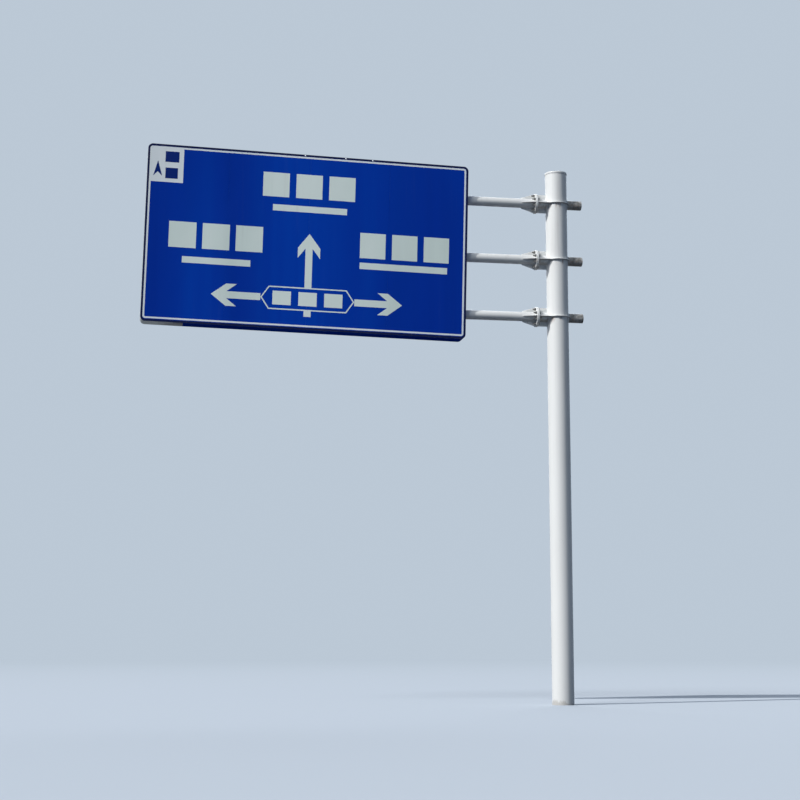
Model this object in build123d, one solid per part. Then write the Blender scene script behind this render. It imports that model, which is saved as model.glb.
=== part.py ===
from build123d import *
import math
import os

# A cantilever sign gantry: a round steel post, three level tube arms that pierce it,
# and a double-faced sign case hung on the arms, in front of and behind them. The case
# hangs a little out of level, with its far end raised.
# Millimetres. The origin is at the centre of the post's foot, on the ground, +Z is
# up, the arms run out towards -X and the sign is read from -Y.

# Post
post_diameter = 325.0
post_wall = 10.0
post_height = 7983.0
cap_overhang = 5.0
cap_lip_height = 24.0
cap_crown_rise = 20.0
cap_wall = 5.0

# Arms: each axis crosses the axis of the post, the top one this far under its top
arm_names = ("bottom", "middle", "top")
top_arm_drop = 484.0
arm_spacing = 877.0
arm_diameter = 140.0
arm_wall = 6.0
arm_reach = 5950.0
stub_length = 222.5
stub_end_thickness = 5.0

# Bolted joint between the root tube, which goes through the post, and the arm
flange_distance = 333.0
flange_diameter = 300.0
flange_thickness = 18.0
gusset_thickness = 10.0
gusset_inset = 8.0
gusset_nose = 12.0
arm_gusset_length = 200.0
collar_width = 30.0
collar_thickness = 10.0

# Sign case
case_tilt = 1.38
case_width = 4772.0
case_height = 2638.0
case_depth = 260.0
case_corner = 70.0
case_gap_to_post_axis = 1422.0
case_rise_above_middle_arm = 11.0
skin_thickness = 3.0
strip_thickness = 3.0
sheet_count = 4
sheet_seam = 1.0
bare_strip_length = 500.0
arm_hole_clearance = 3.0

# Frame inside the case
upright_count = 5
upright_width = 80.0
upright_wall = 5.0
upright_lip = 20.0
upright_end_gap = 40.0
upright_side_margin = 500.0
saddle_height = 100.0
saddle_web = 6.0
seat_clearance = 0.3
tie_width = 50.0
tie_thickness = 8.0
tie_gap = 6.0

# How far a cutting shape runs past what it cuts
overcut = 1.0

post_radius = post_diameter / 2
arm_radius = arm_diameter / 2
flange_radius = flange_diameter / 2
stub_end = post_radius + stub_length
middle_arm_height = post_height - top_arm_drop - arm_spacing
arm_heights = [middle_arm_height + step * arm_spacing for step in (-1, 0, 1)]
arm_frames = [Pos(0, 0, height) for height in arm_heights]

case_frame = Pos(0, 0, middle_arm_height) * Rot(0, case_tilt, 0)
case_right = -case_gap_to_post_axis
case_left = case_right - case_width
case_centre_x = (case_left + case_right) / 2
case_top = case_rise_above_middle_arm + case_height / 2
case_bottom = case_top - case_height
inner_depth = case_depth - 2 * skin_thickness
upright_face = arm_radius + seat_clearance + saddle_web
upright_depth = inner_depth / 2 - upright_face

os.makedirs("parts", exist_ok=True)


def save(name, pieces):
    """Write one node: a single solid, or like solids that don't touch."""
    shape = pieces[0] if len(pieces) == 1 else Compound(children=pieces)
    export_step(shape, f"parts/{name}.step")


def along_x(radius, x_from, x_to):
    """A round bar along X."""
    bar = Cylinder(radius, x_to - x_from, rotation=(0, 90, 0))
    return Pos((x_from + x_to) / 2, 0, 0) * bar


def make_post():
    """The tube, with a hole on each side for every root tube."""
    middle = Pos(0, 0, post_height / 2)
    post = middle * Cylinder(post_radius, post_height)
    post -= middle * Cylinder(post_radius - post_wall, post_height)
    for frame in arm_frames:
        post -= frame * along_x(arm_radius, -post_diameter, post_diameter)
    return post.solid()


def make_post_cap():
    """A spun lid: a lip down the outside of the post and a low crown over it."""
    outer = post_radius + cap_overhang
    outline = Polyline(
        (post_radius, post_height),
        (post_radius, post_height - cap_lip_height),
        (outer, post_height - cap_lip_height),
        (outer, post_height + cap_wall),
        (0, post_height + cap_wall + cap_crown_rise),
        (0, post_height + cap_crown_rise),
        close=True,
    )
    return revolve(Plane.XZ * make_face(outline), axis=Axis.Z).solid()


def make_root_tube():
    """The tube through the post, open at its flange and closed at the stub's end."""
    tube = along_x(arm_radius, -flange_distance, stub_end)
    bore = along_x(arm_radius - arm_wall, -flange_distance, stub_end - stub_end_thickness)
    return (tube - bore).solid()


def make_arm_tube():
    """The arm from its flange to its open tip, inside the case."""
    tube = along_x(arm_radius, -arm_reach, -flange_distance)
    bore = along_x(arm_radius - arm_wall, -arm_reach, -flange_distance)
    return (tube - bore).solid()


def make_flange(x_from):
    """A round flange on the arm's axis, bored for the tube."""
    plate = along_x(flange_radius, x_from, x_from + flange_thickness)
    bore = along_x(arm_radius, x_from, x_from + flange_thickness)
    return (plate - bore).solid()


def standing_plate(points, thickness):
    """A flat plate drawn in X and Z, with its thickness centred on Y."""
    face = Plane.XZ * make_face(Polyline(*points, close=True))
    return extrude(face, amount=thickness / 2, both=True)


def make_root_gussets(frame, post_bar):
    """Two full-depth plates, over and under the root tube, from flange to post."""
    inner = -flange_distance + flange_thickness
    edge = flange_radius - gusset_inset
    points = [(inner, arm_radius), (inner, edge), (0, edge), (0, arm_radius)]
    plate = standing_plate(points, gusset_thickness)
    return [(frame * Rot(turn, 0, 0) * plate - post_bar).solid() for turn in (0, 180)]


def make_collar_plates(frame, post_bar):
    """A flat collar round the post at the arm's axis, with two wings to the flange.
    The root tube parts it into a front and a back half."""
    inner = -flange_distance + flange_thickness
    edge = flange_radius - gusset_inset
    ring = Cylinder(post_radius + collar_width, collar_thickness)
    wings = Pos(inner / 2, 0, 0) * Box(-inner, 2 * edge, collar_thickness)
    tube = along_x(arm_radius, -flange_distance, stub_end)
    plate = frame * (ring + wings - tube) - post_bar
    return list(plate.solids())


def make_arm_gussets():
    """Four tapered plates from the arm flange out along the arm."""
    base = -flange_distance - flange_thickness
    tip = base - arm_gusset_length
    edge = flange_radius - gusset_inset
    nose = arm_radius + gusset_nose
    points = [(base, 0), (base, edge), (base - gusset_nose, edge), (tip, nose), (tip, 0)]
    plate = standing_plate(points, gusset_thickness) - along_x(arm_radius, tip, base)
    return [Rot(turn, 0, 0) * plate.solid() for turn in (0, 90, 180, 270)]


def case_outline():
    """The sign's outline with round corners, drawn in X and Z."""
    outline = RectangleRounded(case_width, case_height, case_corner)
    return Pos(case_centre_x, case_rise_above_middle_arm) * outline


def case_slab(sketch, y_from, y_to):
    """A sketch drawn in X and Z, made solid from one depth to another."""
    return Pos(0, y_from, 0) * extrude(Plane.XZ * sketch, amount=y_from - y_to)


def window(x_from, x_to, z_from, z_to):
    """A box right through the case, to keep one stretch of it."""
    box = Box(x_to - x_from, case_depth + 2 * overcut, z_to - z_from)
    return Pos((x_from + x_to) / 2, 0, (z_from + z_to) / 2) * box


def make_skin(y_from):
    """One face of the case as sheets side by side, with a fine seam between."""
    skin = case_slab(case_outline(), y_from, y_from + skin_thickness)
    sheet_pitch = (case_width + sheet_seam) / sheet_count
    sheets = []
    for place in range(sheet_count):
        left = case_left + place * sheet_pitch
        right = left + sheet_pitch - sheet_seam
        sheets.append((skin & window(left, right, case_bottom - overcut, case_top + overcut)).solid())
    return sheets


def make_edge_strips():
    """The strip that closes the case all round, in lengths."""
    outer = case_outline()
    inner = offset(outer, amount=-strip_thickness)
    ring = case_slab(outer - inner, -inner_depth / 2, inner_depth / 2)
    low = case_bottom - overcut
    high = case_top + overcut
    far = case_left - overcut
    near = case_right + overcut
    curve_left = case_left + case_corner
    curve_right = case_right - case_corner
    bare_end = case_left + bare_strip_length
    right = ring & window(curve_right, near, low, high)
    for frame in arm_frames:
        right -= case_frame.inverse() * frame * along_x(arm_radius + arm_hole_clearance, -arm_reach, 0)
    return {
        "edge_strip_top": ring & window(curve_left, curve_right, case_top - case_corner, high),
        "edge_strip_bottom": ring & window(bare_end, curve_right, low, case_bottom + case_corner),
        "edge_strip_bottom_end": ring & window(curve_left, bare_end, low, case_bottom + case_corner),
        "edge_strip_left": ring & window(far, curve_left, low, high),
        "edge_strip_right": right,
    }


def upright_places():
    first = case_left + upright_side_margin
    last = case_right - upright_side_margin
    return [first + (last - first) * place / (upright_count - 1) for place in range(upright_count)]


def make_uprights(side):
    """Lipped channels behind each skin, with the web towards the arms."""
    length = case_height - 2 * upright_end_gap
    grow = (Align.CENTER, Align.MIN)
    outside = Rectangle(upright_width, upright_depth, align=grow)
    hollow = Rectangle(upright_width - 2 * upright_wall, upright_depth - 2 * upright_wall, align=grow)
    mouth = Rectangle(upright_width - 2 * upright_lip, upright_depth, align=grow)
    profile = outside - Pos(0, upright_wall) * hollow - Pos(0, upright_depth / 2) * mouth
    channel = Pos(0, upright_face, case_rise_above_middle_arm) * extrude(profile, amount=length / 2, both=True)
    turn = 0 if side == "rear" else 180
    return [Pos(x, 0, 0) * Rot(0, 0, turn) * channel for x in upright_places()]


def arm_crossings():
    """Where the tilted line of each upright crosses the level axis of each arm."""
    tilt = math.radians(case_tilt)
    crossings = []
    for place in upright_places():
        for height in arm_heights:
            climb = (height - middle_arm_height + place * math.sin(tilt)) / math.cos(tilt)
            crossings.append(Pos(place * math.cos(tilt) + climb * math.sin(tilt), 0, height))
    return crossings


def make_saddles():
    """Blocks between each upright and each arm, whose jaws seat on the tube."""
    seat = arm_radius + seat_clearance
    jaw = seat * math.sqrt(2)
    half = saddle_height / 2
    outline = Polyline(
        (upright_face, -half),
        (upright_face, half),
        (jaw - half, half),
        (seat, jaw - seat),
        (seat, seat - jaw),
        (jaw - half, -half),
        close=True,
    )
    block = extrude(Plane.YZ * make_face(outline), amount=upright_width / 2, both=True)
    return [crossing * Rot(0, 0, turn) * block for crossing in arm_crossings() for turn in (0, 180)]


def make_tie_bars():
    """Flat bars over and under each arm, from the front upright to the rear one."""
    bar = Box(tie_width, 2 * upright_face, tie_thickness)
    reach = arm_radius + tie_gap + tie_thickness / 2
    return [crossing * Pos(0, 0, side * reach) * bar for crossing in arm_crossings() for side in (-1, 1)]


post_bar = Pos(0, 0, post_height / 2) * Cylinder(post_radius, post_height)
save("post", [make_post()])
save("post_cap", [make_post_cap()])

root_flange = make_flange(-flange_distance)
arm_flange = make_flange(-flange_distance - flange_thickness)
save("root_tubes", [frame * make_root_tube() for frame in arm_frames])
save("root_flanges", [frame * root_flange for frame in arm_frames])
save("root_gussets", [plate for frame in arm_frames for plate in make_root_gussets(frame, post_bar)])
save("collar_plates", [plate for frame in arm_frames for plate in make_collar_plates(frame, post_bar)])
save("arm_flanges", [frame * arm_flange for frame in arm_frames])
save("arm_gussets", [frame * plate for frame in arm_frames for plate in make_arm_gussets()])
for name, frame in zip(arm_names, arm_frames):
    save(f"arm_tube_{name}", [frame * make_arm_tube()])

for number, sheet in enumerate(make_skin(-case_depth / 2), start=1):
    save(f"front_sheet_{number}", [case_frame * sheet])
for number, sheet in enumerate(make_skin(inner_depth / 2), start=1):
    save(f"rear_sheet_{number}", [case_frame * sheet])
for name, strip in make_edge_strips().items():
    save(name, [case_frame * strip.solid()])
save("front_uprights", [case_frame * bar for bar in make_uprights("front")])
save("rear_uprights", [case_frame * bar for bar in make_uprights("rear")])
save("saddle_blocks", make_saddles())
save("tie_bars", make_tie_bars())
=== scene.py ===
import bmesh
import bpy
import math
from mathutils import Matrix, Vector


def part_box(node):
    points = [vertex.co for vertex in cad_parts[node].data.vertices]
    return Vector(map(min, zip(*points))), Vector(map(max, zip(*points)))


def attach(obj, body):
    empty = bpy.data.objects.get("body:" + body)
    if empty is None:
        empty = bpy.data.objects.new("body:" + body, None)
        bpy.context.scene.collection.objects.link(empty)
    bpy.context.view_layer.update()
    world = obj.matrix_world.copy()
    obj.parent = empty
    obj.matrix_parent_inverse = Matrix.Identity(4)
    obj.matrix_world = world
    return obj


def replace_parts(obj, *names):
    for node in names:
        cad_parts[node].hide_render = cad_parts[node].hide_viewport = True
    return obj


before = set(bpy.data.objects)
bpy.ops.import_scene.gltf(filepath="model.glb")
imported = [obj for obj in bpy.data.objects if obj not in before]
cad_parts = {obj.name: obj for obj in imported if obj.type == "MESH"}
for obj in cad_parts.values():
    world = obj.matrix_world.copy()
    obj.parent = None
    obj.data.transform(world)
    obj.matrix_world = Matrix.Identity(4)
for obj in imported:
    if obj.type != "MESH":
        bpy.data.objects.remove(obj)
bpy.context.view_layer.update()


# The post is one rolled and welded steel tube, zinc dipped and then sprayed white.
# It stands straight up from its footing, and splashed soil has greyed its foot.

post_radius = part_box("post")[1].x
arm_names = ("bottom", "middle", "top")
arm_heights = {
    name: sum(corner.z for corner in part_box(f"arm_tube_{name}")) / 2 for name in arm_names
}

WHITE_COAT = (0.83, 0.84, 0.83, 1)
WHITE_COAT_WORN = (0.80, 0.81, 0.80, 1)
# Road grime; on undersides the same tone is also painted shade.
ROAD_GRIME_AND_SHADE = (0.26, 0.23, 0.19, 1)
SPLASHED_SOIL = (0.22, 0.18, 0.13, 1)
# Dark grime, also used as painted shade behind the post and under the collars.
DARK_GRIME_AND_SHADE = (0.105, 0.098, 0.088, 1)
RUST = (0.19, 0.070, 0.025, 1)
RUST_RUN = (0.25, 0.135, 0.07, 1)
post_shadow_start = post_radius - 0.06
post_shadow_end = post_radius + 0.04


def add(tree, kind, sockets=None, **settings):
    """Add a shader node with its settings, and set or wire its sockets."""
    made = tree.nodes.new("ShaderNode" + kind)
    for name, value in settings.items():
        setattr(made, name, value)
    for name, value in (sockets or {}).items():
        if isinstance(value, bpy.types.NodeSocket):
            tree.links.new(value, made.inputs[name])
        else:
            made.inputs[name].default_value = value
    return made


def calc(tree, operation, first, second):
    return add(tree, "Math", {0: first, 1: second}, operation=operation).outputs[0]


def times(tree, first, second):
    return calc(tree, "MULTIPLY", first, second)


def fade(tree, value, start, end, low=0.0, high=1.0):
    """Map a value smoothly from one range to another, clamped at both ends."""
    sockets = {"Value": value, "From Min": start, "From Max": end, "To Min": low, "To Max": high}
    return add(tree, "MapRange", sockets, interpolation_type="SMOOTHSTEP").outputs["Result"]


def mix(tree, share, first, second):
    return add(tree, "Mix", {0: share, 6: first, 7: second}, data_type="RGBA").outputs[2]


def own_place(tree):
    """Where a point of the surface is, in the object's own coordinates."""
    return add(tree, "TexCoord").outputs["Object"]


def split(tree, vector):
    return add(tree, "SeparateXYZ", {0: vector}).outputs


def noise(tree, stretch, detail=3.0, roughness=0.5, offset=(0, 0, 0)):
    """Soft noise over the object's own coordinates, stretched by three scales."""
    mapped = {"Vector": own_place(tree), "Location": offset, "Scale": stretch}
    placed = add(tree, "Mapping", mapped).outputs[0]
    sockets = {"Vector": placed, "Scale": 1.0, "Detail": detail, "Roughness": roughness}
    return add(tree, "TexNoise", sockets).outputs["Fac"]


def roughen(tree, value, reach, stretch, detail, roughness):
    """Shift a value up and down by noise, so that an edge drawn from it is ragged."""
    shift = fade(tree, noise(tree, stretch, detail, roughness), 0.3, 0.7, -reach, reach)
    return calc(tree, "ADD", value, shift)


def new_group(name, inputs, outputs):
    """An empty shader group with named sockets, and its two end nodes."""
    tree = bpy.data.node_groups.new(name, "ShaderNodeTree")
    for socket, (kind, value) in inputs.items():
        made = tree.interface.new_socket(socket, in_out="INPUT", socket_type="NodeSocket" + kind)
        made.default_value = value
    for socket, kind in outputs.items():
        tree.interface.new_socket(socket, in_out="OUTPUT", socket_type="NodeSocket" + kind)
    start = tree.nodes.new("NodeGroupInput").outputs
    end = tree.nodes.new("NodeGroupOutput").inputs
    return tree, start, end


def place_group(tree, name, sockets):
    return add(tree, "Group", sockets, node_tree=bpy.data.node_groups[name]).outputs


def make_weather_and_shade_group():
    """Grime that runs down in streaks and gathers on the undersides, where the darkening is also
    painted shade.
    """
    inputs = {
        "Clean": ("Color", WHITE_COAT),
        "Grime": ("Color", ROAD_GRIME_AND_SHADE),
        "Streaks": ("Float", 0.4),
        "ShadeAndGrimeBelow": ("Float", 0.4),
    }
    tree, start, end = new_group("weather", inputs, {"Color": "Color", "Mask": "Float"})
    runs = fade(tree, noise(tree, (16, 16, 0.55), 4), 0.50, 0.74)
    patches = fade(tree, noise(tree, (1.1, 1.1, 0.5), 3), 0.40, 0.68)
    streaks = times(tree, times(tree, runs, patches), start["Streaks"])
    # Surfaces facing down are darkened by how far they face down: grime, and painted shade.
    upward = split(tree, add(tree, "NewGeometry").outputs["Normal"])["Z"]
    below = times(tree, fade(tree, upward, -0.15, -0.95), start["ShadeAndGrimeBelow"])
    uneven = fade(tree, noise(tree, (5, 5, 5), 4, 0.6), 0.30, 0.65, 0.55, 1.0)
    mask = calc(tree, "MAXIMUM", streaks, times(tree, below, uneven))
    tree.links.new(mask, end["Mask"])
    tree.links.new(mix(tree, mask, start["Clean"], start["Grime"]), end["Color"])


def make_grain_group():
    """The fine unevenness of a sprayed, dipped or rolled surface, as a normal."""
    inputs = {"Scale": ("Float", 300.0), "Height": ("Float", 0.1)}
    tree, start, end = new_group("grain", inputs, {"Normal": "Vector"})
    sockets = {"Vector": own_place(tree), "Scale": start["Scale"], "Detail": 2.0}
    fine = add(tree, "TexNoise", sockets).outputs["Fac"]
    bump = add(tree, "Bump", {"Height": fine, "Strength": start["Height"], "Distance": 0.001})
    tree.links.new(bump.outputs["Normal"], end["Normal"])


def make_rust_group():
    """Small specks of rust where the coat is broken, in loose clusters."""
    tree, start, end = new_group("rust_specks", {"Amount": ("Float", 0.5)}, {"Mask": "Float"})
    specks = fade(tree, noise(tree, (70, 70, 70), 3, 0.7), 0.66, 0.72)
    clusters = fade(tree, noise(tree, (3.5, 3.5, 2.2), 2), 0.52, 0.68)
    mask = times(tree, times(tree, specks, clusters), start["Amount"])
    tree.links.new(mask, end["Mask"])


make_weather_and_shade_group()
make_grain_group()
make_rust_group()


def weather(tree, clean, grime, streaks, shade_and_grime_below):
    """A clean colour as it has weathered, and the mask of the grime on it; on undersides the
    grime is also painted shade.
    """
    sockets = {"Clean": clean, "Grime": grime, "Streaks": streaks, "ShadeAndGrimeBelow": shade_and_grime_below}
    return place_group(tree, "weather", sockets)


def grain(tree, scale, height):
    return place_group(tree, "grain", {"Scale": scale, "Height": height})["Normal"]


def speckle(tree, colour, amount):
    """A colour with specks of rust over it."""
    specks = place_group(tree, "rust_specks", {"Amount": amount})["Mask"]
    return mix(tree, specks, colour, RUST)


def new_material(name, metallic=0.0):
    """A material with its shader, whose metal share is set on its own socket."""
    made = bpy.data.materials.new(name)
    made.use_nodes = True
    shader = made.node_tree.nodes["Principled BSDF"]
    shader.inputs["Metallic"].default_value = metallic
    return made, made.node_tree, shader


def wire(tree, shader, colour, roughness, normal):
    """Wire to a shader what changes over its surface."""
    tree.links.new(colour, shader.inputs["Base Color"])
    tree.links.new(roughness, shader.inputs["Roughness"])
    tree.links.new(normal, shader.inputs["Normal"])


def make_coat(
    name,
    streaks,
    shade_and_grime_below,
    rust,
    grime=ROAD_GRIME_AND_SHADE,
    splash_height=0.0,
    shadow_and_grime_behind=0.0,
    runs_below=(),
):
    """White sprayed coat over zinc, with grime and rust, undersides darker with grime and painted
    shade, its foot dirtier, and its far side behind the post darker with grime and painted shadow
    of the post.
    """
    made, tree, shader = new_material(name)
    shader.inputs["IOR"].default_value = 1.48
    patchy = fade(tree, noise(tree, (2.3, 2.3, 0.9), 4), 0.30, 0.70)
    clean = mix(tree, patchy, WHITE_COAT, WHITE_COAT_WORN)
    weathered = weather(tree, clean, grime, streaks, shade_and_grime_below)
    colour = weathered["Color"]
    place = split(tree, own_place(tree))
    # Behind the post the colour darkens: painted shadow of the post, with grime.
    if shadow_and_grime_behind:
        blotches = fade(tree, noise(tree, (14, 14, 14), 4, 0.6), 0.30, 0.62, 0.55, 1.0)
        behind = fade(tree, place["X"], post_shadow_start, post_shadow_end, 0.0, shadow_and_grime_behind)
        colour = mix(tree, times(tree, behind, blotches), colour, DARK_GRIME_AND_SHADE)
    if splash_height:
        ragged = roughen(tree, place["Z"], 0.05, (9, 9, 5), 5, 0.65)
        splashed = fade(tree, ragged, splash_height, 0.0, 0.0, 0.40)
        colour = mix(tree, splashed, colour, SPLASHED_SOIL)
    for height in runs_below:
        drop = calc(tree, "SUBTRACT", height, place["Z"])
        band = times(tree, fade(tree, drop, 0.0, 0.006), fade(tree, drop, 0.02, 0.13, 0.7, 0.0))
        streaky = noise(tree, (24, 24, 4), 4, 0.6, offset=(0, 0, height))
        run = times(tree, band, fade(tree, streaky, 0.48, 0.68))
        colour = mix(tree, run, colour, RUST_RUN)
    sprayed = fade(tree, patchy, 0, 1, 0.32, 0.44)
    roughness = calc(tree, "ADD", sprayed, times(tree, weathered["Mask"], 0.3))
    wire(tree, shader, speckle(tree, colour, rust), roughness, grain(tree, 220.0, 0.12))
    return made


def dress(material, *names):
    """Give parts of the frame their finish."""
    for name in names:
        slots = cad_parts[name].data.materials
        slots.clear()
        slots.append(material)


post_coat = make_coat(
    "post_coat",
    streaks=0.20,
    shade_and_grime_below=0.0,
    rust=0.7,
    splash_height=0.07,
    runs_below=arm_heights.values(),
)
dress(post_coat, "post")


# The root tubes go through the post and end in short closed stubs, and the arms run
# on from their flanges into the sign. All are the same steel tube, coated white.

arm_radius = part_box("arm_tube_middle")[1].y
flange_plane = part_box("arm_tube_middle")[1].x
arm_frames = {name: Matrix.Translation((0, 0, height)) for name, height in arm_heights.items()}

tube_coat = make_coat("tube_coat", streaks=0.20, shade_and_grime_below=0.45, rust=0.6)
# The stubs behind the post get painted shadow of the post, with grime and rust.
root_coat = make_coat(
    "root_coat",
    streaks=0.40,
    shade_and_grime_below=0.90,
    rust=0.9,
    shadow_and_grime_behind=0.92,
    runs_below=arm_heights.values(),
)
dress(tube_coat, "arm_tube_bottom", "arm_tube_middle", "arm_tube_top")
dress(root_coat, "root_tubes")


# The flanges, gussets and collars are flame-cut steel plates, and the cap is a spun lid.
# Their edges were ground before coating, so each stands here with its edges eased.

plate_ease = 0.0015
flange_ease = 0.0025
merge_within = 0.0003

plate_coat = make_coat(
    "plate_coat", streaks=0.35, shade_and_grime_below=0.85, rust=0.8, runs_below=arm_heights.values()
)
# The collars' undersides are darkened all over: painted shade under the collars, with some grime.
collar_coat = make_coat(
    "collar_coat", streaks=0.15, shade_and_grime_below=1.0, rust=0.9, grime=DARK_GRIME_AND_SHADE
)


def to_mesh(name, shape, material):
    """Turn a finished shape into a mesh of one material."""
    mesh = bpy.data.meshes.new(name)
    shape.to_mesh(mesh)
    shape.free()
    mesh.materials.append(material)
    return mesh


def stand(name, data):
    """Put a new object in the scene."""
    made = bpy.data.objects.new(name, data)
    bpy.context.scene.collection.objects.link(made)
    return made


def new_piece(name, shape, material, sharp_over=40):
    """Make a shape a named piece of the gantry, smooth apart from its sharp edges."""
    mesh = to_mesh(name, shape, material)
    mesh.polygons.foreach_set("use_smooth", [True] * len(mesh.polygons))
    mesh.set_sharp_from_angle(angle=math.radians(sharp_over))
    piece = stand(name, mesh)
    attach(piece, "root")
    return piece


def ease_plates(node, name, ease, coat=plate_coat):
    """Stand a copy of a plate, with its sharp edges rounded, in its place."""
    shape = bmesh.new()
    shape.from_mesh(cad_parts[node].data)
    bmesh.ops.remove_doubles(shape, verts=shape.verts, dist=merge_within)
    flat = math.radians(1)
    bmesh.ops.dissolve_limit(shape, angle_limit=flat, verts=shape.verts, edges=shape.edges)
    corner = math.radians(50)
    sharp = [edge for edge in shape.edges if edge.is_manifold and edge.calc_face_angle() > corner]
    bmesh.ops.bevel(
        shape,
        geom=sharp,
        offset=ease,
        segments=2,
        profile=0.5,
        affect="EDGES",
        material=-1,
        clamp_overlap=True,
    )
    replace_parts(new_piece(name, shape, coat), node)


ease_plates("post_cap", "post_lid", plate_ease)
ease_plates("root_flanges", "root_flange_plates", flange_ease)
ease_plates("arm_flanges", "arm_flange_plates", flange_ease)
ease_plates("root_gussets", "root_gusset_plates", plate_ease)
ease_plates("arm_gussets", "arm_gusset_plates", plate_ease)
ease_plates("collar_plates", "collar_ring_plates", plate_ease, collar_coat)


# Each flange joint has eight hexagon bolts, two in each quarter between the ribs.
# They are zinc-dipped steel, with the nut and the thread's end on the arm's side, and their zinc
# is made dark as painted shade of the nuts' shaded sides and their shadows.

flange_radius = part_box("root_flanges")[1].y
flange_thickness = 0.018
root_face = flange_plane + flange_thickness
arm_face = flange_plane - flange_thickness
bolt_count = 8
bolt_circle_radius = 0.118
bolt_radius = 0.011
bolt_sides = 14
washer_radius = 0.0215
washer_thickness = 0.004
washer_sides = 20
hex_radius = 0.0208
head_height = 0.014
nut_height = 0.019
thread_end = 0.024
hex_chamfer = 0.0022
chamfer_slope = 0.6
level_within = 1e-5
# Dark zinc tones: painted shade of the nuts' shaded sides and the shadows they cast.
bolt_zinc_shade_dark = (0.13, 0.125, 0.12, 1)
bolt_zinc_shade_bright = (0.26, 0.26, 0.25, 1)
fine_spangle = 220.0


def add_cone(shape, place, foot_radius, top_radius, height, sides):
    """A closed bar or cone along its own upright axis."""
    made = bmesh.ops.create_cone(
        shape,
        cap_ends=True,
        cap_tris=False,
        segments=sides,
        radius1=foot_radius,
        radius2=top_radius,
        depth=height,
        matrix=place,
    )
    return made["verts"]


def furthest_face(vertices, direction):
    """The face round some vertices that lies furthest along a direction."""
    faces = {face for vertex in vertices for face in vertex.link_faces}
    return max(faces, key=lambda face: face.calc_center_median().dot(direction))


def add_disc(shape, matrix, radius, start, end, sides, chamfer=0.0):
    """A round or hexagon bar along the arm, with its far end chamfered."""
    span = end - start
    middle = matrix @ Matrix.Translation(((start + end) / 2, 0, 0))
    turn = Matrix.Rotation(math.radians(90), 4, "Y")
    vertices = add_cone(shape, middle @ turn, radius, radius, abs(span), sides)
    if chamfer:
        outward = middle.to_3x3() @ Vector((math.copysign(1, span), 0, 0))
        top = furthest_face(vertices, outward)
        bmesh.ops.inset_region(shape, faces=[top], thickness=chamfer, depth=0.0)
        outer = [vertex for vertex in vertices if vertex not in set(top.verts)]
        far = max(vertex.co.dot(outward) for vertex in outer)
        edge = [vertex for vertex in outer if far - vertex.co.dot(outward) < level_within]
        bmesh.ops.translate(shape, verts=edge, vec=outward * -chamfer * chamfer_slope)


def add_bolt(shape, matrix):
    """One bolt through the flange pair: head, two washers, nut and thread end."""
    head = root_face + washer_thickness
    nut = arm_face - washer_thickness
    tip = nut - nut_height
    add_disc(shape, matrix, washer_radius, root_face, head, washer_sides)
    add_disc(shape, matrix, hex_radius, head, head + head_height, 6, hex_chamfer)
    add_disc(shape, matrix, washer_radius, arm_face, nut, washer_sides)
    add_disc(shape, matrix, hex_radius, nut, tip, 6, hex_chamfer)
    add_disc(shape, matrix, bolt_radius, tip, tip - thread_end, bolt_sides, hex_chamfer)


def make_zinc(name, rust, spangle, dark_zinc, bright_zinc):
    """Hot-dipped zinc, dulled, with spangle patches and rust coming through."""
    made, tree, shader = new_material(name, metallic=0.75)
    cells = add(tree, "TexVoronoi", {"Scale": spangle, "Vector": own_place(tree)})
    tone = fade(tree, split(tree, cells.outputs["Color"])["X"], 0, 1)
    zinc = mix(tree, tone, dark_zinc, bright_zinc)
    weathered = weather(tree, zinc, ROAD_GRIME_AND_SHADE, 0.3, 0.4)
    roughness = fade(tree, tone, 0, 1, 0.38, 0.55)
    colour = speckle(tree, weathered["Color"], rust)
    wire(tree, shader, colour, roughness, grain(tree, 400.0, 0.2))
    return made


bolt_zinc_shaded = make_zinc("bolt_zinc_shaded", 0.9, fine_spangle, bolt_zinc_shade_dark, bolt_zinc_shade_bright)
for name, matrix in arm_frames.items():
    shape = bmesh.new()
    for turn in range(bolt_count):
        angle = (turn + 0.5) * 2 * math.pi / bolt_count
        spot = Matrix.Rotation(angle, 4, "X") @ Matrix.Translation((0, bolt_circle_radius, 0))
        add_bolt(shape, matrix @ spot)
    new_piece(f"flange_bolts_{name}", shape, bolt_zinc_shaded, sharp_over=25)


# Fillet welds join tubes, flanges, gussets, collars and post. They were laid by hand
# before dipping, so they are rippled beads under the same white coat.

weld_leg = 0.008
ring_steps = 48
bead_radius = 0.005
bead_sides = 8
gusset_half = 0.005
gusset_weld_end = flange_radius - weld_leg
collar_half = 0.005
arm_gusset_length = 0.200


def make_bead_coat():
    """The white coat over the small ripples of a weld."""
    made = make_coat("bead_coat", streaks=0.4, shade_and_grime_below=0.75, rust=1.0)
    tree = made.node_tree
    normal = tree.nodes["Principled BSDF"].inputs["Normal"]
    under = normal.links[0].from_socket
    ripples = noise(tree, (140, 140, 140), 1.0)
    sockets = {"Height": ripples, "Strength": 0.8, "Distance": 0.003, "Normal": under}
    tree.links.new(add(tree, "Bump", sockets).outputs["Normal"], normal)
    return made


def add_ring_weld(shape, axis, radius, along, lean):
    """A fillet ring round a bar: along its axis, leaning to one side or the other."""
    earlier = set(shape.verts)
    outward = Vector((0, 1, 0))
    foot = axis * along + outward * radius
    profile = [foot, foot + outward * weld_leg, foot + axis * lean * weld_leg]
    corners = [shape.verts.new(point) for point in profile]
    edges = [shape.edges.new((corners[i], corners[(i + 1) % 3])) for i in range(3)]
    bmesh.ops.spin(
        shape,
        geom=corners + edges,
        cent=(0, 0, 0),
        axis=axis,
        angle=2 * math.pi,
        steps=ring_steps,
        use_merge=True,
    )
    return [vertex for vertex in shape.verts if vertex not in earlier]


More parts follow.
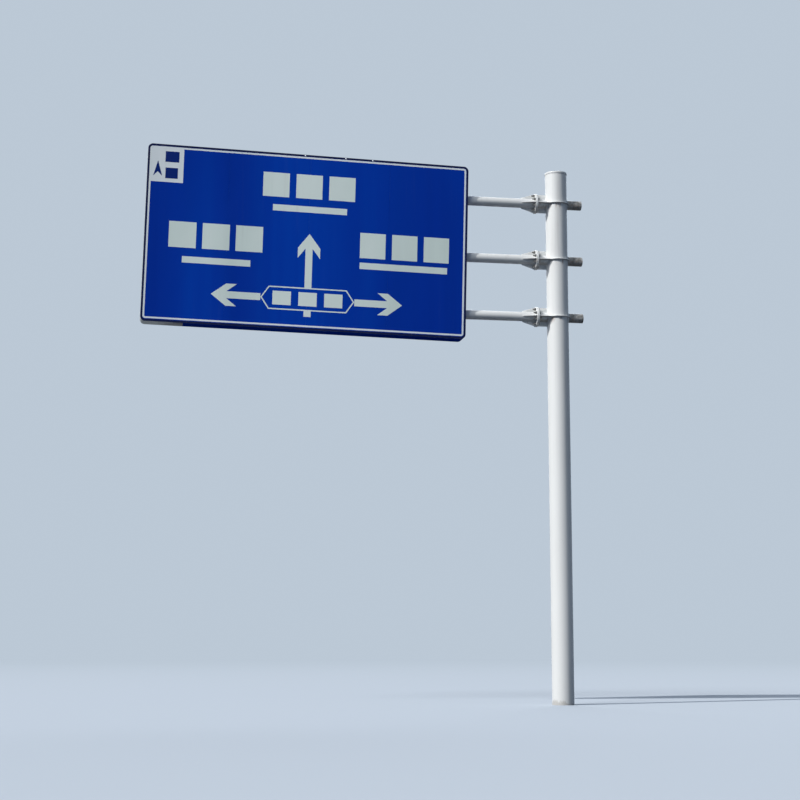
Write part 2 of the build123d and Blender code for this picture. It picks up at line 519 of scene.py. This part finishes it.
def add_bead(shape, matrix, start, end):
    """A straight bead from one point to another."""
    middle = (Vector(start) + Vector(end)) / 2
    run = Vector(end) - Vector(start)
    turn = run.to_track_quat("Z", "Y").to_matrix().to_4x4()
    place = matrix @ (Matrix.Translation(middle) @ turn)
    add_cone(shape, place, bead_radius, bead_radius, run.length, bead_sides)


def weld_joint(shape, matrix):
    """All the welds of one arm's joint, drawn in the arm's own frame."""
    along_arm = Vector((1, 0, 0))
    up_post = Vector((0, 0, 1))
    rings = add_ring_weld(shape, along_arm, arm_radius, root_face, 1)
    rings += add_ring_weld(shape, along_arm, arm_radius, arm_face, -1)
    for side in (1, -1):
        rings += add_ring_weld(shape, up_post, post_radius, side * collar_half, side)
    for side in (-1, 1):
        saddle = add_ring_weld(shape, along_arm, arm_radius, side * post_radius, side)
        for vertex in saddle:
            sunk = post_radius - math.sqrt(post_radius**2 - vertex.co.y**2)
            vertex.co.x -= side * sunk
        rings += saddle
    bmesh.ops.transform(shape, matrix=matrix, verts=rings)
    for quarter in range(4):
        turned = matrix @ Matrix.Rotation(quarter * math.pi / 2, 4, "X")
        for side in (-gusset_half, gusset_half):
            inner = (arm_face, side, arm_radius)
            add_bead(shape, turned, inner, (arm_face - arm_gusset_length, side, arm_radius))
            add_bead(shape, turned, inner, (arm_face, side, gusset_weld_end))
    for half in (0, math.pi):
        turned = matrix @ Matrix.Rotation(half, 4, "X")
        for side in (-gusset_half, gusset_half):
            inner = (root_face, side, arm_radius)
            at_post = (-post_radius, side, arm_radius)
            add_bead(shape, turned, inner, at_post)
            add_bead(shape, turned, inner, (root_face, side, gusset_weld_end))
            add_bead(shape, turned, at_post, (-post_radius, side, gusset_weld_end))


bead_coat = make_bead_coat()
for name, matrix in arm_frames.items():
    shape = bmesh.new()
    weld_joint(shape, matrix)
    bmesh.ops.recalc_face_normals(shape, faces=shape.faces)
    new_piece(f"joint_welds_{name}", shape, bead_coat, sharp_over=70)


# The sign's two faces are aluminium sheets side by side, covered with blue reflective film before
# they were riveted up. The film was laid in upright widths that differ a little in tone, and it
# has dulled unevenly; its broad paler upright band is a painted sheen.

case_tilt = math.radians(1.38)
case_corner = 0.07


def box_along(matrix, *names):
    """The low and high corners of some parts, measured along a turned frame."""
    turned = matrix.inverted()
    points = [turned @ vertex.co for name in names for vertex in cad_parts[name].data.vertices]
    return [Vector(pick(axis) for axis in zip(*points)) for pick in (min, max)]


case_frame = arm_frames["middle"] @ Matrix.Rotation(case_tilt, 4, "Y")
case_low, case_high = box_along(case_frame, "front_sheet_1", "front_sheet_4", "rear_sheet_1")
case_width = case_high.x - case_low.x
case_height = case_high.z - case_low.z

FILM_BLUE = (0.0, 0.036, 0.400, 1)
FILM_BLUE_DULL = (0.0, 0.031, 0.340, 1)
FILM_BLUE_PALE = (0.0, 0.053, 0.465, 1)
blue_tones = (FILM_BLUE, FILM_BLUE_DULL, FILM_BLUE_PALE)


def make_film_group():
    """Reflective film: upright tones with a painted sheen band, cells a few millimetres wide and
    soft waves.
    """
    inputs = {
        "Film": ("Color", FILM_BLUE),
        "Dull": ("Color", FILM_BLUE_DULL),
        "Pale": ("Color", FILM_BLUE_PALE),
    }
    tree, start, end = new_group("film", inputs, {"Color": "Color", "Normal": "Vector"})
    # The broad upright bands, set along the face by their offset, are a painted sheen: paler and
    # duller stripes of tone.
    broad = fade(tree, noise(tree, (0.75, 0.75, 0.10), 2.0, 0.4, offset=(0.35, 0, 0)), 0.36, 0.66)
    narrow = fade(tree, noise(tree, (5.5, 5.5, 0.16), 2.0, 0.5), 0.30, 0.72)
    tone = mix(tree, broad, start["Dull"], start["Pale"])
    tone = mix(tree, times(tree, narrow, 0.45), tone, start["Film"])
    sockets = {"Vector": own_place(tree), "Scale": 240.0}
    cells = add(tree, "TexVoronoi", sockets, feature="DISTANCE_TO_EDGE")
    webs = fade(tree, cells.outputs["Distance"], 0.0, 0.12)
    tone = mix(tree, fade(tree, webs, 0, 1, 0.06, 0.0), tone, start["Pale"])
    waves = noise(tree, (2.2, 2.2, 1.4), 2.0)
    wavy = add(tree, "Bump", {"Height": waves, "Strength": 0.35, "Distance": 0.012})
    sockets = {"Height": webs, "Strength": 0.15, "Distance": 0.0004, "Normal": wavy.outputs[0]}
    webbed = add(tree, "Bump", sockets)
    tree.links.new(tone, end["Color"])
    tree.links.new(webbed.outputs[0], end["Normal"])


def make_film(name, tones, streaks=0.03, gloss=0.30, shine=0.15):
    """One finish of film, from its plain, dull and pale tones, its grime and its gloss."""
    made, tree, shader = new_material(name)
    shader.inputs["IOR"].default_value = 1.5
    shader.inputs["Specular IOR Level"].default_value = shine
    laid = place_group(tree, "film", dict(zip(("Film", "Dull", "Pale"), tones)))
    weathered = weather(tree, laid["Color"], ROAD_GRIME_AND_SHADE, streaks, 0.0)
    roughness = fade(tree, noise(tree, (3, 3, 1.2), 4), 0.3, 0.7, gloss, gloss + 0.16)
    wire(tree, shader, weathered["Color"], roughness, laid["Normal"])
    return made


make_film_group()
blue_film = make_film("blue_film", blue_tones, streaks=0.02, shine=0.08)
for side in ("front", "rear"):
    dress(blue_film, *[f"{side}_sheet_{number}" for number in range(1, 5)])


# The border on each face is a narrow band of white film, set in from the edge and
# rounded at the corners like the sign itself.

film_thickness = 0.0008
border_left = 0.031
border_right = 0.035
border_top = 0.034
border_foot = 0.041
border_width = 0.025
border_tones = ((0.86, 0.92, 0.96, 1), (0.79, 0.86, 0.89, 1), (0.91, 0.95, 0.97, 1))

white_film = make_film("white_film", border_tones, streaks=0.06, gloss=0.4)


def on_face(across, down):
    """A point of the sign's face, from its left edge and from its top edge."""
    return Vector((case_low.x + across, 0, case_high.z - down))


def new_outline(shape, points):
    """A flat face through some points of the sign's face."""
    face = shape.faces.new([shape.verts.new(on_face(*point)) for point in points])
    face.normal_update()
    return face


def block(left, top, width, height):
    """The four corners of an upright rectangle."""
    return [(left, top), (left + width, top), (left + width, top + height), (left, top + height)]


def lay_film(name, shape, material, side=-1, layer=1):
    """Thicken flat shapes and lay them on the front face, or turned on the rear one."""
    surface = case_high.y + (layer - 1) * film_thickness
    made = bmesh.ops.extrude_face_region(shape, geom=shape.faces[:])
    raised = [part for part in made["geom"] if isinstance(part, bmesh.types.BMVert)]
    bmesh.ops.translate(shape, verts=raised, vec=(0, side * film_thickness, 0))
    bmesh.ops.translate(shape, verts=shape.verts[:], vec=(0, side * surface, 0))
    bmesh.ops.recalc_face_normals(shape, faces=shape.faces)
    bmesh.ops.transform(shape, matrix=case_frame, verts=shape.verts[:])
    new_piece(name, shape, material)


def cut_line(shape, face, width):
    """Leave only a line of some width along the rim of a face."""
    bmesh.ops.inset_region(
        shape, faces=[face], thickness=width, use_boundary=True, use_even_offset=True
    )
    bmesh.ops.delete(shape, geom=[face], context="FACES")


def add_round_frame(shape, insets, rounding, width):
    """A closed band along the sign's rim, inset on four sides, with round corners."""
    left, top, right, foot = insets
    inside = (case_width - left - right, case_height - top - foot)
    outline = new_outline(shape, block(left, top, *inside))
    bmesh.ops.bevel(
        shape,
        geom=outline.verts[:],
        offset=rounding,
        segments=6,
        profile=0.5,
        affect="VERTICES",
        material=-1,
    )
    shape.faces.ensure_lookup_table()
    cut_line(shape, shape.faces[0], width)


border_insets = (border_left, border_top, border_right, border_foot)
for name, side in (("front_border", -1), ("rear_border", 1)):
    shape = bmesh.new()
    add_round_frame(shape, border_insets, case_corner - border_left, border_width)
    lay_film(name, shape, white_film, side=side)


# The legend is cut from white film: three road arrows that meet at a long hexagon, and
# plain blocks in rows of three, all but one row with a bar under it.

arrow_barb_start = 0.215
arrow_barb_end = 0.370
arrow_half_span = 0.165
arrow_half_shaft = 0.052
crossing = (2.401, 2.185)
hexagon_half_length = 0.691
hexagon_half_height = 0.173
hexagon_point = 0.118
hexagon_line = 0.018
up_arrow_tip = (2.401, 1.200)
left_arrow_tip = (0.993, 2.185)
right_arrow_tip = (3.804, 2.191)
stem_end = 2.444
legend_tones = ((0.78, 0.90, 0.85, 1), (0.68, 0.79, 0.75, 1), (0.84, 0.94, 0.90, 1))

legend_white = make_film("legend_white", legend_tones, streaks=0.1, gloss=0.42)


def add_arrow(shape, tip, towards, length):
    """A road arrow with swept barbs, from its tip back along its shaft."""
    sweep = (arrow_half_span - arrow_half_shaft) * arrow_barb_start / arrow_half_span
    half = [
        (arrow_barb_start, arrow_half_span),
        (arrow_barb_end, arrow_half_span),
        (arrow_barb_end - sweep, arrow_half_shaft),
        (length, arrow_half_shaft),
    ]
    outline = [(0, 0)] + half + [(back, -out) for back, out in reversed(half)]
    across, down = towards
    points = [
        (tip[0] - back * across - out * down, tip[1] - back * down + out * across)
        for back, out in outline
    ]
    new_outline(shape, points)


def add_hexagon(shape):
    """The thin outline of the box where the three roads meet."""
    long = hexagon_half_length
    tall = hexagon_half_height
    flat = long - hexagon_point
    half = [(-long, 0), (-flat, -tall), (flat, -tall), (long, 0), (flat, tall), (-flat, tall)]
    points = [(crossing[0] + across, crossing[1] + down) for across, down in half]
    cut_line(shape, new_outline(shape, points), hexagon_line)


shape = bmesh.new()
hexagon_top = crossing[1] - hexagon_half_height
hexagon_foot = crossing[1] + hexagon_half_height
add_arrow(shape, up_arrow_tip, (0, -1), hexagon_top - up_arrow_tip[1])
add_arrow(shape, left_arrow_tip, (-1, 0), crossing[0] - hexagon_half_length - left_arrow_tip[0])
add_arrow(shape, right_arrow_tip, (1, 0), right_arrow_tip[0] - crossing[0] - hexagon_half_length)
stem_size = (2 * arrow_half_shaft, stem_end - hexagon_foot)
new_outline(shape, block(crossing[0] - arrow_half_shaft, hexagon_foot, *stem_size))
add_hexagon(shape)
lay_film("road_arrows", shape, legend_white)

name_blocks = {
    "title": {"left": 1.691, "top": 0.304, "pitch": 0.490, "size": (0.390, 0.365)},
    "left_road": {"left": 0.351, "top": 1.142, "pitch": 0.485, "size": (0.395, 0.385)},
    "right_road": {"left": 3.154, "top": 1.129, "pitch": 0.479, "size": (0.382, 0.383)},
    "crossing": {"left": 1.886, "top": 2.082, "pitch": 0.380, "size": (0.270, 0.205)},
}
name_bars = {
    "title": {"left": 1.846, "top": 0.784, "width": 1.100, "height": 0.095},
    "left_road": {"left": 0.556, "top": 1.654, "width": 0.990, "height": 0.095},
    "right_road": {"left": 3.156, "top": 1.581, "width": 1.316, "height": 0.097},
}
for name, row in name_blocks.items():
    shape = bmesh.new()
    for place in range(3):
        new_outline(shape, block(row["left"] + place * row["pitch"], row["top"], *row["size"]))
    if name in name_bars:
        new_outline(shape, block(**name_bars[name]))
    lay_film(f"name_blocks_{name}", shape, legend_white)


# The compass block fills the top left corner: a square of white film inside the border,
# with a dart for north and plain squares beside it, cut from navy film laid on top.

compass_right = 0.522
compass_foot = 0.567
compass_left = border_left + border_width
compass_top = border_top + border_width
north_dart = ((0.150, 0.250), (0.216, 0.478), (0.150, 0.415), (0.088, 0.480))
upper_square = {"left": 0.255, "top": 0.104, "width": 0.200, "height": 0.160}
lower_square = {"left": 0.262, "top": 0.350, "width": 0.180, "height": 0.160}
navy_tones = ((0.0, 0.020, 0.190, 1), (0.0, 0.016, 0.150, 1), (0.0, 0.026, 0.220, 1))

shape = bmesh.new()
size = (compass_right - compass_left, compass_foot - compass_top)
new_outline(shape, block(compass_left, compass_top, *size))
lay_film("compass_block", shape, white_film)

shape = bmesh.new()
for outline in (north_dart, block(**upper_square), block(**lower_square)):
    new_outline(shape, outline)
lay_film("compass_marks", shape, make_film("navy_film", navy_tones), layer=2)


# The edge of the sign is closed by strips of aluminium sheet, folded a finger's width over both
# faces. They are painted dark blue, but the far side and the first length under it are bare. The
# folds' navy is near black, in part as painted shade of the gap at the sheets' edges.

rim_inset = 0.0005
rim_fold_width = 0.0295
stain_start = 0.12
stain_reach = 0.34
BARE_DARK = (0.34, 0.35, 0.33, 1)
BARE_BRIGHT = (0.52, 0.54, 0.51, 1)
RUST_STAIN = (0.095, 0.078, 0.074, 1)
# Near-black navy: paint colour, darkened in part as painted shade of the gap at the sheets'
# edges.
EDGE_NAVY = (0.006, 0.012, 0.060, 1)
EDGE_NAVY_DULL = (0.010, 0.018, 0.075, 1)


def make_edge_paint():
    """Matt navy paint on the strips, chalked in patches and grimy in streaks."""
    made, tree, shader = new_material("edge_paint")
    shader.inputs["Specular IOR Level"].default_value = 0.08
    cloudy = fade(tree, noise(tree, (3, 3, 3), 4), 0.3, 0.7)
    paint = mix(tree, cloudy, EDGE_NAVY, EDGE_NAVY_DULL)
    weathered = weather(tree, paint, ROAD_GRIME_AND_SHADE, 0.1, 0.06)
    roughness = fade(tree, cloudy, 0, 1, 0.62, 0.78)
    wire(tree, shader, weathered["Color"], roughness, grain(tree, 300.0, 0.1))
    return made


def make_bare_aluminium(name, stained=False):
    """Mill-finish sheet with rolling lines, dulled by weather, or stained brown inwards."""
    made, tree, shader = new_material(name, metallic=0.35)
    lines = fade(tree, noise(tree, (90, 90, 3), 3), 0.35, 0.65)
    cloudy = fade(tree, noise(tree, (2.5, 2.5, 2.5), 4), 0.3, 0.7)
    tone = calc(tree, "ADD", times(tree, lines, 0.3), times(tree, cloudy, 0.7))
    metal = mix(tree, tone, BARE_DARK, BARE_BRIGHT)
    colour = weather(tree, metal, SPLASHED_SOIL, 0.3, 0.35)["Color"]
    if stained:
        along = split(tree, own_place(tree))["X"]
        ragged = roughen(tree, along, 0.06, (12, 12, 12), 4, 0.6)
        start = case_low.x + stain_start
        stain = fade(tree, ragged, start, start + stain_reach, 0.0, 0.92)
        colour = mix(tree, stain, colour, RUST_STAIN)
    roughness = fade(tree, cloudy, 0, 1, 0.58, 0.72)
    wire(tree, shader, colour, roughness, grain(tree, 500.0, 0.1))
    return made


edge_paint = make_edge_paint()
bare_aluminium = make_bare_aluminium("bare_aluminium")
stained_aluminium = make_bare_aluminium("stained_aluminium", stained=True)
for name, side in (("front_rim_fold", -1), ("rear_rim_fold", 1)):
    shape = bmesh.new()
    add_round_frame(shape, (rim_inset,) * 4, case_corner - rim_inset, rim_fold_width)
    lay_film(name, shape, edge_paint, side=side)
strip_film = make_film("strip_film", blue_tones, streaks=0.05, gloss=0.72, shine=0.0)
dress(strip_film, "edge_strip_top", "edge_strip_bottom", "edge_strip_right")
dress(bare_aluminium, "edge_strip_left")
dress(stained_aluminium, "edge_strip_bottom_end")


# A strap of the same bare sheet is riveted under the joint between the bare length and
# the painted one, and is stained as brown as the end that it covers.

strap_before_joint = 0.025
strap_past_joint = 0.112
strap_thickness = 0.0012
strap_setback = 0.001
strap_ease = strap_thickness * 0.4
strap_rivet_rows = (-0.09, 0.0, 0.09)
strap_rivet_radius = 0.006
strap_rivet_crown = strap_rivet_radius * 0.6
strap_rivet_height = 0.002
rivet_sides = 16

joint_low, joint_high = box_along(case_frame, "edge_strip_bottom")
strap_start = joint_low.x - strap_before_joint
strap_end = joint_low.x + strap_past_joint
shape = bmesh.new()
reach = joint_high.y - strap_setback
corners = [(strap_start, -reach), (strap_end, -reach), (strap_end, reach), (strap_start, reach)]
corners = [shape.verts.new((along, across, joint_low.z)) for along, across in corners]
thickened = bmesh.ops.extrude_face_region(shape, geom=[shape.faces.new(corners)])
lowered = [part for part in thickened["geom"] if isinstance(part, bmesh.types.BMVert)]
bmesh.ops.translate(shape, verts=lowered, vec=(0, 0, -strap_thickness))
rim = [edge for edge in shape.edges if all(vertex in lowered for vertex in edge.verts)]
bmesh.ops.bevel(
    shape, geom=rim, offset=strap_ease, segments=2, profile=0.5, affect="EDGES", material=-1
)
below = joint_low.z - strap_thickness - strap_rivet_height / 2
for along in (strap_start + strap_before_joint / 2, strap_end - strap_before_joint / 2):
    for across in strap_rivet_rows:
        spot = Matrix.Translation((along, across, below))
        add_cone(
            shape, spot, strap_rivet_crown, strap_rivet_radius, strap_rivet_height, rivet_sides
        )
bmesh.ops.recalc_face_normals(shape, faces=shape.faces)
bmesh.ops.transform(shape, matrix=case_frame, verts=shape.verts[:])
new_piece("strip_joint_strap", shape, stained_aluminium)


# Blind rivets through the folded rim hold the strips and the sheets together. They are
# painted with it. Three at the top of the front were put in later, with wider heads
# and no paint.

rivet_radius = 0.006
rivet_height = 0.0025
rivet_dome = 0.0015
rivet_crown_share = 0.55
rivet_dome_share = 0.25
rivet_edge_inset = 0.015
rivet_pitch = 0.44
later_rivets = (2.300, 2.908, 3.312)
later_rivet_radius = 0.010
rivet_zinc_dark = (0.76, 0.77, 0.78, 1)
rivet_zinc_bright = (0.86, 0.87, 0.88, 1)


def add_rivet(shape, across, down, side, radius=rivet_radius):
    """A domed head on one of the sign's faces."""
    spot = on_face(across, down)
    spot.y = side * (case_high.y + film_thickness + rivet_height / 2)
    turn = Matrix.Rotation(math.radians(90 * side), 4, "X")
    place = case_frame @ Matrix.Translation(spot) @ turn
    head = add_cone(shape, place, radius * rivet_crown_share, radius, rivet_height, rivet_sides)
    crown = furthest_face(head, Vector((0, side, 0)))
    bmesh.ops.inset_region(
        shape, faces=[crown], thickness=radius * rivet_dome_share, depth=rivet_dome / 2
    )


def spread(start, end, pitch):
    """Even places from start to end, as close to the pitch as fits."""
    steps = max(1, round((end - start) / pitch))
    return [start + (end - start) * place / steps for place in range(steps + 1)]


def add_rivets(name, shape, material):
    """Make a finished set of rivet heads a piece."""
    bmesh.ops.recalc_face_normals(shape, faces=shape.faces)
    new_piece(name, shape, material, sharp_over=60)


for name, side in (("front_rivets", -1), ("rear_rivets", 1)):
    shape = bmesh.new()
    for across in spread(case_corner, case_width - case_corner, rivet_pitch):
        add_rivet(shape, across, rivet_edge_inset, side)
        add_rivet(shape, across, case_height - rivet_edge_inset, side)
    for down in spread(case_corner, case_height - case_corner, rivet_pitch):
        add_rivet(shape, rivet_edge_inset, down, side)
        add_rivet(shape, case_width - rivet_edge_inset, down, side)
    add_rivets(name, shape, edge_paint)

rivet_zinc = make_zinc("rivet_zinc", 0.0, fine_spangle, rivet_zinc_dark, rivet_zinc_bright)
shape = bmesh.new()
for across in later_rivets:
    add_rivet(shape, across, rivet_edge_inset, -1, later_rivet_radius)
add_rivets("front_later_rivets", shape, rivet_zinc)


# Inside the sign, aluminium channels stand behind each face, and zinc-dipped saddles
# and tie bars hold them to the arms.

saddle_zinc_dark = (0.40, 0.42, 0.43, 1)
saddle_zinc_bright = (0.60, 0.62, 0.63, 1)
coarse_spangle = 60.0

saddle_zinc = make_zinc("saddle_zinc", 0.3, coarse_spangle, saddle_zinc_dark, saddle_zinc_bright)
dress(bare_aluminium, "front_uprights", "rear_uprights")
dress(saddle_zinc, "saddle_blocks", "tie_bars")


# The floor is plain and pale, and fades into a backdrop of the same tone far off, so
# that no horizon shows. It throws back less light than its tone would, which keeps the
# undersides of the arms and plates dark.

floor_reach = 300.0
fade_start = 3.0
fade_end = 70.0
BACKDROP = (0.50, 0.58, 0.67, 1)
FLOOR_SEEN = (0.56, 0.62, 0.69, 1)
FLOOR_LIT = (0.065, 0.08, 0.105, 1)


def make_floor_material():
    """A matt pale floor that fades into the backdrop."""
    made = bpy.data.materials.new("pale_floor")
    made.use_nodes = True
    tree = made.node_tree
    tree.nodes.remove(tree.nodes["Principled BSDF"])
    rays = add(tree, "LightPath").outputs
    seen = calc(tree, "MAXIMUM", rays["Is Camera Ray"], rays["Is Glossy Ray"])
    matt = add(tree, "BsdfDiffuse", {"Color": mix(tree, seen, FLOOR_LIT, FLOOR_SEEN)})
    far_tone = add(tree, "Emission", {"Color": BACKDROP})
    away = add(tree, "VectorMath", {0: own_place(tree)}, operation="LENGTH").outputs["Value"]
    share = times(tree, fade(tree, away, fade_start, fade_end), seen)
    blended = add(tree, "MixShader", {0: share, 1: matt.outputs[0], 2: far_tone.outputs[0]})
    tree.links.new(blended.outputs[0], tree.nodes["Material Output"].inputs["Surface"])
    return made


shape = bmesh.new()
bmesh.ops.create_circle(shape, cap_ends=True, segments=96, radius=floor_reach)
floor = stand("floor", to_mesh("floor", shape, make_floor_material()))


# A key light stands far to the left, broad soft ones in front and behind, and a faint
# even light fills the rest.

KEY_FROM = Vector((-0.742, -0.300, 0.600))
FILL_FROM = Vector((-0.575, -0.506, 0.643))
BACK_FROM = Vector((0.15, 0.89, 0.43))
KEY_TINT = (1.0, 0.985, 0.96)
SOFT_TINT = (0.96, 0.98, 1.0)
EVEN_LIGHT = (0.105, 0.14, 0.195, 1)


def add_sun(name, comes_from, strength, width, tint):
    """A lamp far away, with its width in degrees as the object sees it."""
    light = bpy.data.lights.new(name, "SUN")
    light.energy = strength
    light.angle = math.radians(width)
    light.color = tint
    lamp = stand(name, light)
    lamp.rotation_mode = "QUATERNION"
    lamp.rotation_quaternion = comes_from.to_track_quat("Z", "Y")


def make_world():
    """A faint even light on the object, and the pale backdrop where one looks past it."""
    world = bpy.data.worlds.new("studio")
    world.use_nodes = True
    tree = world.node_tree
    rays = add(tree, "LightPath").outputs
    bounced = calc(tree, "MAXIMUM", rays["Is Glossy Ray"], rays["Is Transmission Ray"])
    seen = calc(tree, "MAXIMUM", rays["Is Camera Ray"], bounced)
    shown = mix(tree, seen, EVEN_LIGHT, BACKDROP)
    tree.links.new(shown, tree.nodes["Background"].inputs["Color"])
    bpy.context.scene.world = world


add_sun("key", KEY_FROM, strength=3.0, width=1.0, tint=KEY_TINT)
add_sun("fill", FILL_FROM, strength=0.92, width=20.0, tint=SOFT_TINT)
add_sun("back", BACK_FROM, strength=1.0, width=40.0, tint=SOFT_TINT)
make_world()


# The camera stands where the photograph was taken: low, well out in front of the sign
# and to the left of its middle, and turned a little towards the post.

camera_place = Vector((-6.556, -23.382, 0.872))
camera_pitch = 8.52
camera_yaw = -10.04

view = bpy.data.cameras.new("camera")
view.lens = 73.44
view.sensor_width = 36.0
view.clip_end = 1000.0
camera = stand("camera", view)
camera.location = camera_place
camera.rotation_euler = (math.radians(90 + camera_pitch), 0, math.radians(camera_yaw))
bpy.context.scene.camera = camera
bpy.context.scene.view_settings.view_transform = "Standard"
